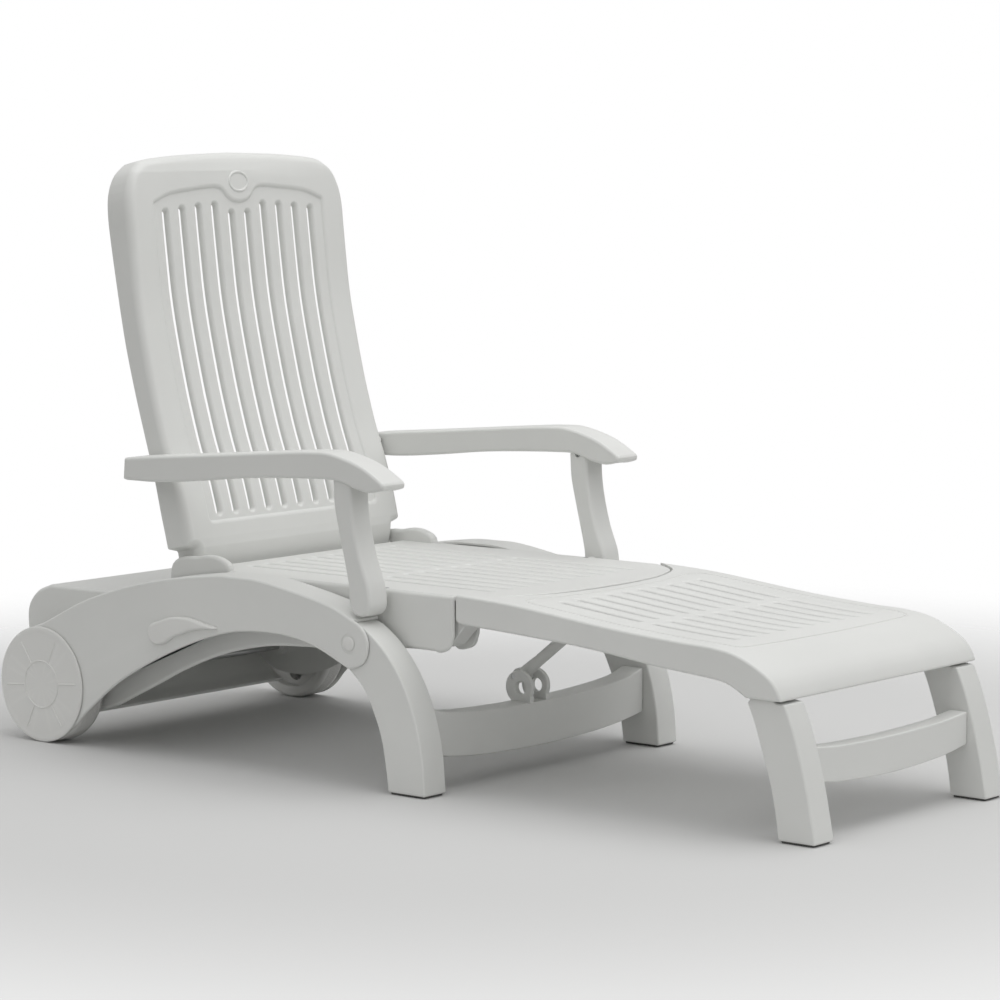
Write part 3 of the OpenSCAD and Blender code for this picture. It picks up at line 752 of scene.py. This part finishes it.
def backrest_panel():
    """Backrest built flat, with its sunk slatted field and oval ring, then bent to its curve."""
    outline = back_front()
    body = slab("backrest_panel", outline, -BACK_DEPTH, 0, 3.0, 15.0, flat_point, 7)
    room = layered("room", inset(ccw(outline), WALL),
                   [(0, WALL - BACK_DEPTH), (0, -16), (4.5, -8), (10, -WALL)], flat_point)
    sunk = field_outline()
    cut(room, slab("slats", inset(ccw(sunk), -3.0), -14, 5, place=flat_point))
    cut(body, room)
    opening = rounded([Vector(p) for p in ((-277, 68), (277, 68), (277, 655), (262, 696), (225, 722),
                                           (0, 734), (-225, 722), (-262, 696), (-277, 655))], 22)
    cut(body, slab("opening", opening, -60, -30, place=flat_point))
    cut(body, layered("sunk", sunk, [(2.4, -4.0), (1.0, -3.7), (0.0, -2.9), (-1.4, -1.4), (-3.4, -0.5),
                                     (-6.0, -0.05), (-6.4, 2.0)], flat_point))
    slots = []
    for i in range(SLOT_COUNT):
        centre = abs(i - (SLOT_COUNT - 1) / 2)
        top = 632 if centre < 1 else 648 - 0.0003 * slot_y(i) ** 2
        tool = flared_slot("slot", 86, top, 0.0, lambda x: -4.0, 6.8, 40, 9.0)
        turn(tool, Matrix(((0, 0, 1, 0), (0, 1, 0, slot_y(i) * MM), (1, 0, 0, 0), (0, 0, 0, 1))))
        tool.data.flip_normals()
        slots.append(tool)
    cut(body, *slots)
    oval = [2 * math.pi * k / 56 for k in range(56)]
    join(body, tube("ring", [(-1.4, 24 * math.cos(a), 685 + 17.5 * math.sin(a)) for a in oval],
                    3.2, True, 14, (1, 0, 0)))
    bend(body)
    turn(body, Matrix.Translation(Vector((-469, 0, 333)) * MM) @ Matrix.Rotation(-LEAN, 4, "Y"))
    join(body, *(pair(lambda: bar("boss", P_BACK, 15, 228, 262, 1.0)) +
                 pair(lambda: bar("lug", P_LUG, 8, 262, 285, 0.5))))
    cut(body, *(pair(lambda: bar("hole", P_BACK, 6.05, 220, 290, 0.01)) +
                pair(lambda: bar("hole", P_LUG, 5.0, 255, 290, 0.01))))
    return finish_piece(body, "backrest", "resin_shell", SHELL, "backrest_panel")


# ---------------------------------------------------------------- side pieces, modelled at +Y

def side_name(stem, s):
    return stem + ("_left" if s > 0 else "_right")


def placed(obj, s):
    return obj if s > 0 else mirrored(obj)


def side_frame(s):
    """Arched side frame: an outer wall with a top flange, bolt bosses and a recess round the leg pin."""
    body = slab(side_name("side_frame", s), arch(), FRAME_IN, FRAME_OUT, 0.8, 4.0, steps=6)
    cut(body, slab("room", inset(ccw(arch()), WALL), FRAME_IN - 5, FRAME_WALL))
    below = [Vector(p) for p in ((-900, -50), (60, -50), (60, 400), (-13, 400), (-13, 265), (-120, 285),
                                 (-281, 300), (-480, 275), (-640, 235), (-750, 190), (-750, 400),
                                 (-900, 400))]
    cut(body, slab("below", below, FRAME_IN - 5, FRAME_WALL))
    join(body, *([bar("boss", p, 14, HALF_W + 0.3, FRAME_WALL + 1, 0.8) for p in BOLTS] +
                 [bar("boss", P_LEVER, 16, 346, 353, 0.8)]))
    cut(body, *([bar("hole", P_AXLE, 17.5, 340, 360, 0.01), bar("hole", P_MID, 8, 340, 360, 0.01),
                 bar("hole", P_LEVER, 7.05, 340, 360, 0.01), bar("recess", P_MID, 17, 355.2, 360, 0.01)] +
                [bar("hole", p, 5, 280, 330, 0.01) for p in BOLTS]))
    return finish_piece(placed(body, s), "frame", "resin_frame", BEAM, side_name("side_frame", s))


def armrest(s):
    stem = side_name("armrest", s)
    body = slab(stem, armrest_side(), ARM_IN, ARM_OUT, 6.0, 6.0, steps=6)
    hollow = inset(ccw(armrest_side()), 4.5)
    cut(body, slab("room", hollow, ARM_IN + 4.5, ARM_OUT - 4.5))
    cut(body, slab("room", [p - Vector((0, 30)) for p in hollow], ARM_IN + 4.5, ARM_OUT - 4.5))
    notch = [Vector(p) for p in ((-80, 480), (-80, 525), (-35, 539), (-5, 527), (20, 515), (41, 508),
                                 (41, 480))]
    cut(body, slab("notch", notch, ARM_IN + 4.5, ARM_OUT - 4.5))
    adds = [bar("tongue", P_ARM, 12, 316, 325, 0.8),
            slab("web", box_outline(P_ARM[0] - 12, P_ARM[0] + 12, P_ARM[1], P_ARM[1] + 37), 316, 325),
            bar("socket", P_LUG, 9.5, ARM_IN + 0.5, 307, 0.8)]
    for x in (-430, -330, -230, -140):
        z = 512 + (x + 430) * 0.06
        adds.append(slab("rib", box_outline(x, x + 4, z, z + 21), ARM_IN + 4, ARM_OUT - 4))
    join(body, *adds)
    cut(body, bar("hole", P_ARM, 6.05, 310, 330, 0.01), bar("hole", P_LUG, 5.05, 280, 306, 0.01))
    return finish_piece(placed(body, s), side_name("arm", s), "resin_shell", SHELL, stem)


def arm_strut(s):
    """Strut under the armrest, hollow from behind, forked at the top."""
    stem = side_name("arm_strut", s)
    body = slab(stem, strut_side(), STRUT_IN, STRUT_OUT, 6.0, 6.0, steps=6)
    hollow = inset(ccw(strut_side()), 5.0)
    window = box_outline(-120, 20, 352, 486)
    for shift in (0, -30):
        channel = slab("channel", [p + Vector((shift, 0)) for p in hollow], STRUT_IN + 5, STRUT_OUT - 5)
        for low, high in ((-200, 352), (486, 800)):
            cut(channel, slab("end", box_outline(-300, 200, low, high), 200, 400))
        cut(body, channel)
    cut(body, slab("fork", box_outline(-90, 0, P_ARM[1] - 14, P_ARM[1] + 46), 315.5, 325.5))
    cut(body, bar("hole", P_ARM, 6, 290, 341, 0.01), bar("hole", P_STRUT, 7.05, 290, 342.5, 0.01))
    return finish_piece(placed(body, s), side_name("strut", s), "resin_frame", BEAM, stem)


def leg(stem, s, outline, y0, y1, low, high, left, body_name, extra):
    """Leg with soft edges, hollow from behind between low and high."""
    name = side_name(stem, s)
    body = slab(name, outline, y0, y1, 3.5, 3.5, steps=5)
    hollow = inset(ccw(outline), 5.0)
    for shift in (0, -60):
        channel = slab("channel", [p + Vector((shift, 0)) for p in hollow], y0 + 5, y1 - 5)
        for bottom, top in ((-50, low), (high, 400)):
            cut(channel, slab("end", box_outline(left, left + 400, bottom, top), y0, y1))
        cut(body, channel)
    extra(body)
    return finish_piece(placed(body, s), body_name, "resin_frame", BEAM, name)


def mid_leg(s):
    def extra(body):
        join(body, bar("hub", P_MID, 16, LEG_IN, LEG_OUT, 1.0))
        cut(body, bar("hole", P_MID, 8.05, 290, 360, 0.01),
            slab("mortise", [Vector(p) for p in TENON], LEG_IN - 1, LEG_IN + 20),
            slab("sole", box_outline(62, 137, -5, 8), LEG_IN + 3, LEG_OUT - 3))
    return leg("mid_leg", s, mid_leg_side(), LEG_IN, LEG_OUT, 13, 215, -200, "mid_legs", extra)


def front_leg(s):
    def extra(body):
        cut(body, bar("hole", P_FRONT, 6.05, 215, 285, 0.01),
            slab("mortise", [Vector(p) for p in FRONT_TENON], FRONT_IN - 1, FRONT_IN + 16),
            slab("sole", box_outline(801, 864, -5, 8), FRONT_IN + 3, FRONT_OUT - 3))
    return leg("front_leg", s, front_leg_side(), FRONT_IN, FRONT_OUT, 13, 190, 600, "front_legs", extra)


def cross_point(p, x):
    return Vector((x, p.x, p.y))


def bowed(upper, lower, edge):
    """Front view of a bowed cross bar, [y, z], from its upper and lower half curves."""
    top = smooth([(-y, z) for y, z in reversed(upper)] + upper[1:])
    base = smooth([(-y, z) for y, z in reversed(lower)] + lower[1:])
    return rounded(top + base[::-1], edge)


def mid_stretcher():
    outline = bowed([(0, 118), (90, 119), (180, 123), (250, 130), (293.7, 142)],
                    [(0, 41), (70, 42), (150, 45), (230, 52), (293.7, 62)], 3.5)
    body = slab("mid_stretcher", outline, 60, 106, 3.0, 3.0, cross_point, 5)
    adds = [slab("tenon", [Vector(p) for p in TENON], -312, 312)]
    ring = [(29 * math.cos(a), 29 * math.sin(a)) for a in [2 * math.pi * k / 64 for k in range(64)]]
    for y in (-27, 17):
        adds.append(slab("clevis", [Vector((78 + a, 142 + b)) for a, b in ring], y, y + 10, 2.5, 2.5))
        adds.append(slab("root", box_outline(62, 104, 105, 128), y, y + 10))
    join(body, *adds)
    cut(body, bar("eye", (83, 142), 12, -30, 30, 0.01), bar("hole", P_BRACE, 5, -40, 40, 0.01),
        slab("gap", box_outline(40, 130, 125, 185), -15, 15),
        slab("channel", box_outline(66, 100, 30, 104), 10 - LEG_IN, LEG_IN - 10))
    return finish_piece(body, "mid_legs", "resin_frame", BEAM, "mid_stretcher")


def front_stretcher():
    outline = bowed([(0, 137), (80, 138), (160, 141), (221.7, 147)],
                    [(0, 76), (80, 78), (160, 83), (221.7, 92)], 3.5)
    body = slab("front_stretcher", outline, 796, 830, 3.0, 3.0, cross_point, 5)
    join(body, slab("tenon", [Vector(p) for p in FRONT_TENON], -236, 236))
    cut(body, slab("channel", box_outline(790, 825, 60, 120), 10 - FRONT_IN, FRONT_IN - 10))
    return finish_piece(body, "front_legs", "resin_frame", BEAM, "front_stretcher")


def brace_rod():
    """Round strut with a flattened eye at its foot, swelling into a cross bar at its tip."""
    start, end = Vector(P_BRACE), Vector(P_TIP)
    span = (end - start).length
    direction = (end - start).normalized()
    bm = bmesh.new()
    rings = []
    for t, r in ((0, 10.5), (0.06, 11.5), (0.12, 11), (0.2, 10), (0.85, 10), (0.94, 11), (1.0, 8.5)):
        c = start + direction * span * t
        centre = Vector((c.x, 0, c.y))
        u = Vector((direction.y, 0, -direction.x))
        rings.append([bm.verts.new(centre + (u * math.cos(q) + Vector((0, 1, 0)) * math.sin(q)) * r)
                      for q in [2 * math.pi * k / 32 for k in range(32)]])
    for a, b in zip(rings, rings[1:]):
        for k in range(32):
            bm.faces.new((a[k], a[(k + 1) % 32], b[(k + 1) % 32], b[k]))
    bm.faces.new(rings[0])
    bm.faces.new(rings[-1])
    body = new_object("brace_rod", bm)
    join(body, bar("eye", P_BRACE, 13, -14, 14, 2.5), bar("tip", P_TIP, 9, -34, 34, 2.0))
    cut(body, bar("hole", P_BRACE, 5.05, -20, 20, 0.01))
    return finish_piece(body, "brace", "resin_frame", BEAM, "brace_rod")


def wheel(s):
    """Wheel with softly rolled tread edges, fine tread grooves, a sunk web and six lightening holes."""
    tread = []
    for k in range(7):
        y = 313 + 4 * k
        tread += [(105.0, y - 1.2), (104.2, y - 0.5), (104.2, y + 0.5), (105.0, y + 1.2)]
    prof = [(8.05, 300), (27, 300), (28, 301), (28, 316.5), (29.5, 318), (82.5, 318), (84, 316.5), (84, 302),
            (85.5, 300.6), (88, 300), (97, 300), (100, 300.8), (103, 303.6), (105, 308)] + tread + \
           [(105, 341), (103, 345.4), (100, 348.2), (97, 349), (88, 349), (85, 347.6), (84, 345), (84, 332),
            (82, 330), (30, 330), (28, 332), (28, 348), (27, 349), (16, 349), (16, 356.3), (8.05, 356.3)]
    name = side_name("wheel", s)
    body = lathe(name, prof, P_AXLE, 96)
    holes = []
    for k in range(6):
        a = math.radians(60 * k + 30)
        centre = (P_AXLE[0] + 57 * math.cos(a), P_AXLE[1] + 57 * math.sin(a))
        holes.append(bar("hole", centre, 17, 305, 335, 0.01))
    cut(body, *holes)
    return finish_piece(placed(body, s), name, "wheel_resin", WHEEL, name)


def hub_cap(s):
    """Round cap with a rolled edge, a raised ring and six raised spokes."""
    name = side_name("hub_cap", s)
    prof = [(0, 356.8), (101.5, 356.8), (103.5, 357.3), (104.5, 358.2), (104.5, 359.2), (103.8, 360.1),
            (102, 360.8), (98.5, 361), (95, 360.7), (92.5, 360.2), (90, 360), (0, 360)]
    body = lathe(name, prof, P_AXLE, 96)
    ring = [2 * math.pi * k / 72 for k in range(72)]
    adds = [tube("ring", [(P_AXLE[0] + 42.5 * math.cos(a), 359.8, P_AXLE[1] + 42.5 * math.sin(a))
                          for a in ring], 1.8, True, 12)]
    for k in range(6):
        a = math.radians(60 * k + 5)
        adds.append(tube("spoke", [(P_AXLE[0] + r * math.cos(a), 359.8, P_AXLE[1] + r * math.sin(a))
                                   for r in (43, 55, 70, 88)], 1.7, False, 12))
    join(body, *adds)
    cut(body, bar("hole", P_AXLE, 8.05, 350, 358.3, 0.01))
    return finish_piece(placed(body, s), side_name("wheel", s), "resin_trim", TRIM, name)


def lever(s):
    """Teardrop release lever: a domed thumb disc running out into a curved, tapering blade."""
    name = side_name("lever", s)
    blade = rounded(runs(
        [(-480, 238), (-466, 244), (-450, 250), (-432, 255.5), (-410, 258), (-385, 257.5), (-360, 253),
         (-340, 249), (-324, 246.5)],
        ((-324, 246.5), (-323, 243.5)),
        [(-323, 243.5), (-340, 242.5), (-360, 240), (-385, 235), (-410, 226), (-428, 219), (-442, 210),
         (-452, 206), (-466, 204.5), (-478, 208)],
        [(-478, 208), (-486, 222), (-480, 238)]), 1.0)
    body = slab(name, blade, 356.4, 365.6, 0.0, 5.0, steps=7)
    dome = [(0, 356.4), (20, 356.4), (20, 361), (19.2, 363.2), (17.2, 364.8), (14, 365.6), (8, 366), (0, 366)]
    join(body, lathe("dome", dome, P_LEVER, 64), bar("shaft", P_LEVER, 7, 332, 357, 0.5))
    return finish_piece(placed(body, s), side_name("lever", s), "resin_trim", TRIM, name)


def lever_cam(s):
    name = side_name("lever_cam", s)
    corners = ((-478, 233), (-466, 262), (-458, 262), (-452, 228), (-466, 212))
    nose = rounded([Vector(p) for p in corners], 3.0)
    body = slab(name, nose, 320, 334, 0.8, 0.8)
    join(body, bar("hub", P_LEVER, 15, 320, 345.5, 1.0))
    cut(body, bar("hole", P_LEVER, 7, 331.5, 350, 0.01))
    return finish_piece(placed(body, s), side_name("lever", s), "cam_resin", CAM, name)


def leg_pin(s):
    """Hinge pin of a middle leg, with a domed resin head that shows on the arch."""
    name = side_name("leg_pin", s)
    body = lathe(name, [(0, 274), (7.4, 274), (8, 275), (8, 355.4), (11.2, 355.6), (12, 356.4), (12, 357.2),
                        (10.5, 358.3), (6, 358.9), (0, 359)], P_MID, 56)
    return finish_piece(placed(body, s), "frame", "resin_trim", TRIM, name)


def pad(stem, s, x0, x1, y0, y1, body_name):
    """Foot pad set up into its leg, with ribs across its sole."""
    name = side_name(stem, s)
    outline = box_outline(x0, x1, y0, y1)
    body = layered(name, rounded(outline, 4.0), [(1.0, 0.0), (0.0, 1.0), (0.0, 7.4), (0.4, 7.7)], plan_point)
    grooves = []
    for k in range(int((x1 - x0) / 9)):
        x = x0 + 9 * k + 5
        grooves.append(tube("groove", [(x, y0 - 2, -0.6), (x, y1 + 2, -0.6)], 1.5, False, 8, (0, 0, 1)))
    cut(body, *grooves)
    return finish_piece(placed(body, s), body_name, "foot_rubber", PAD, name)


def brace_cradle():
    outline = rounded([Vector(p) for p in ((206, 301.7), (206, 290), (214, 281), (246, 281), (254, 290),
                                           (254, 301.7))], 3.0)
    body = slab("brace_cradle", outline, -30, -22, 1.0, 1.0)
    join(body, slab("cheek", outline, 22, 30, 1.0, 1.0),
         slab("plate", box_outline(206.3, 253.7, 299.7, 301.6), -29, 29))
    cut(body, bar("seat", P_TIP, 9.3, -60, 60, 0.01),
        slab("mouth", box_outline(P_TIP[0] - 9.3, P_TIP[0] + 9.3, 270, 288), -60, 60))
    return finish_piece(body, "leg_rest", "resin_frame", BEAM, "brace_cradle")


# ---------------------------------------------------------------- build

seat_shell()
legrest_panel()
backrest_panel()
mid_stretcher()
front_stretcher()
brace_rod()
brace_cradle()
for side_sign in (1, -1):
    side_frame(side_sign)
    armrest(side_sign)
    arm_strut(side_sign)
    mid_leg(side_sign)
    front_leg(side_sign)
    wheel(side_sign)
    hub_cap(side_sign)
    lever(side_sign)
    lever_cam(side_sign)
    leg_pin(side_sign)
    pad("mid_pad", side_sign, 62.5, 136.5, LEG_IN + 3.4, LEG_OUT - 3.4, "mid_legs")
    pad("front_pad", side_sign, 801.5, 863.5, FRONT_IN + 3.4, FRONT_OUT - 3.4, "front_legs")

CARRIED = ["wheel_axle", "brace_pin"] + [side_name(stem, s) for s in (1, -1) for stem in (
    "frame_bolts", "strut_pin", "back_pin", "rest_pin", "lug_pin", "arm_pin", "front_pin")]
for name in CARRIED:
    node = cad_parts[name]
    node.data.materials.clear()
    node.data.materials.append(STEEL)


# ---------------------------------------------------------------- stage, light, camera

def paper():
    """Pale studio paper that fades out round the object into the white backdrop."""
    mat = bpy.data.materials.new("floor_paper")
    mat.use_nodes = True
    nodes, links = mat.node_tree.nodes, mat.node_tree.links
    shader = nodes["Principled BSDF"]
    shader.inputs["Roughness"].default_value = 0.9
    shader.inputs["Specular IOR Level"].default_value = 0.0
    noise = nodes.new("ShaderNodeTexNoise")
    noise.inputs["Scale"].default_value = 3.0
    ramp = nodes.new("ShaderNodeValToRGB")
    ramp.color_ramp.elements[0].color = (0.66, 0.66, 0.655, 1)
    ramp.color_ramp.elements[1].color = (0.69, 0.69, 0.685, 1)
    place = nodes.new("ShaderNodeTexCoord")
    far = nodes.new("ShaderNodeVectorMath")
    far.operation = "LENGTH"
    fade = nodes.new("ShaderNodeMapRange")
    fade.interpolation_type = "SMOOTHSTEP"
    fade.inputs["From Min"].default_value = 1.0
    fade.inputs["From Max"].default_value = 2.6
    clear = nodes.new("ShaderNodeBsdfTransparent")
    both = nodes.new("ShaderNodeMixShader")
    links.new(noise.outputs["Fac"], ramp.inputs["Fac"])
    links.new(ramp.outputs["Color"], shader.inputs["Base Color"])
    links.new(place.outputs["Object"], far.inputs[0])
    links.new(far.outputs["Value"], fade.inputs["Value"])
    links.new(fade.outputs["Result"], both.inputs["Fac"])
    links.new(shader.outputs["BSDF"], both.inputs[1])
    links.new(clear.outputs["BSDF"], both.inputs[2])
    links.new(both.outputs["Shader"], nodes["Material Output"].inputs["Surface"])
    return mat


def backdrop():
    """White dome that only the camera sees."""
    dome_bm = bmesh.new()
    bmesh.ops.create_icosphere(dome_bm, subdivisions=4, radius=60000)
    dome = new_object("backdrop", dome_bm)
    mat = bpy.data.materials.new("backdrop_white")
    mat.use_nodes = True
    nodes, links = mat.node_tree.nodes, mat.node_tree.links
    glow = nodes.new("ShaderNodeEmission")
    glow.inputs["Color"].default_value = (1, 1, 1, 1)
    links.new(glow.outputs["Emission"], nodes["Material Output"].inputs["Surface"])
    dome.data.materials.append(mat)
    dome.visible_diffuse = False
    dome.visible_glossy = False
    dome.visible_transmission = False
    dome.visible_shadow = False


floor_bm = bmesh.new()
bmesh.ops.create_circle(floor_bm, cap_ends=True, segments=64, radius=3000)
floor = new_object("floor", floor_bm)
floor.location.z = -0.0005
floor.data.materials.append(paper())
backdrop()

scene = bpy.context.scene
world = bpy.data.worlds.new("studio")
scene.world = world
world.use_nodes = True
sky_nodes, sky_links = world.node_tree.nodes, world.node_tree.links
sky_place = sky_nodes.new("ShaderNodeTexCoord")
sky_split = sky_nodes.new("ShaderNodeSeparateXYZ")
sky_ramp = sky_nodes.new("ShaderNodeValToRGB")
sky_ramp.color_ramp.elements[0].position = 0.0
sky_ramp.color_ramp.elements[0].color = (0.42, 0.42, 0.41, 1)
sky_ramp.color_ramp.elements[1].position = 0.8
sky_ramp.color_ramp.elements[1].color = (1.0, 1.0, 1.0, 1)
sky_links.new(sky_place.outputs["Generated"], sky_split.inputs["Vector"])
sky_links.new(sky_split.outputs["Z"], sky_ramp.inputs["Fac"])
sky_links.new(sky_ramp.outputs["Color"], sky_nodes["Background"].inputs["Color"])
sky_nodes["Background"].inputs["Strength"].default_value = 0.8


def softbox(name, where, target, size, power):
    data = bpy.data.lights.new(name, "AREA")
    data.shape = "RECTANGLE"
    data.size, data.size_y = size
    data.energy = power
    light = bpy.data.objects.new(name, data)
    scene.collection.objects.link(light)
    light.location = where
    light.rotation_mode = "QUATERNION"
    light.rotation_quaternion = (Vector(target) - Vector(where)).to_track_quat("-Z", "Y")


softbox("overhead", (0.6, 0.3, 3.4), (0.0, 0.0, 0.3), (3.5, 2.5), 36)
softbox("front", (4.2, 0.6, 2.4), (0.0, 0.0, 0.4), (2.5, 2.0), 14)

AZIMUTH, ELEVATION, DISTANCE = math.radians(39.27), math.radians(6.03), 6.32891
target = Vector((0.018, 0.0, 0.46126))
back = Vector((math.sin(AZIMUTH) * math.cos(ELEVATION), -math.cos(AZIMUTH) * math.cos(ELEVATION),
               math.sin(ELEVATION)))
data = bpy.data.cameras.new("camera")
data.sensor_width = 36.0
data.lens = 131.4
data.shift_x = -0.0013
camera = bpy.data.objects.new("camera", data)
scene.collection.objects.link(camera)
camera.location = target + back * DISTANCE
camera.rotation_mode = "QUATERNION"
camera.rotation_quaternion = (-back).to_track_quat("-Z", "Y")
scene.camera = camera
scene.view_settings.view_transform = "Standard"
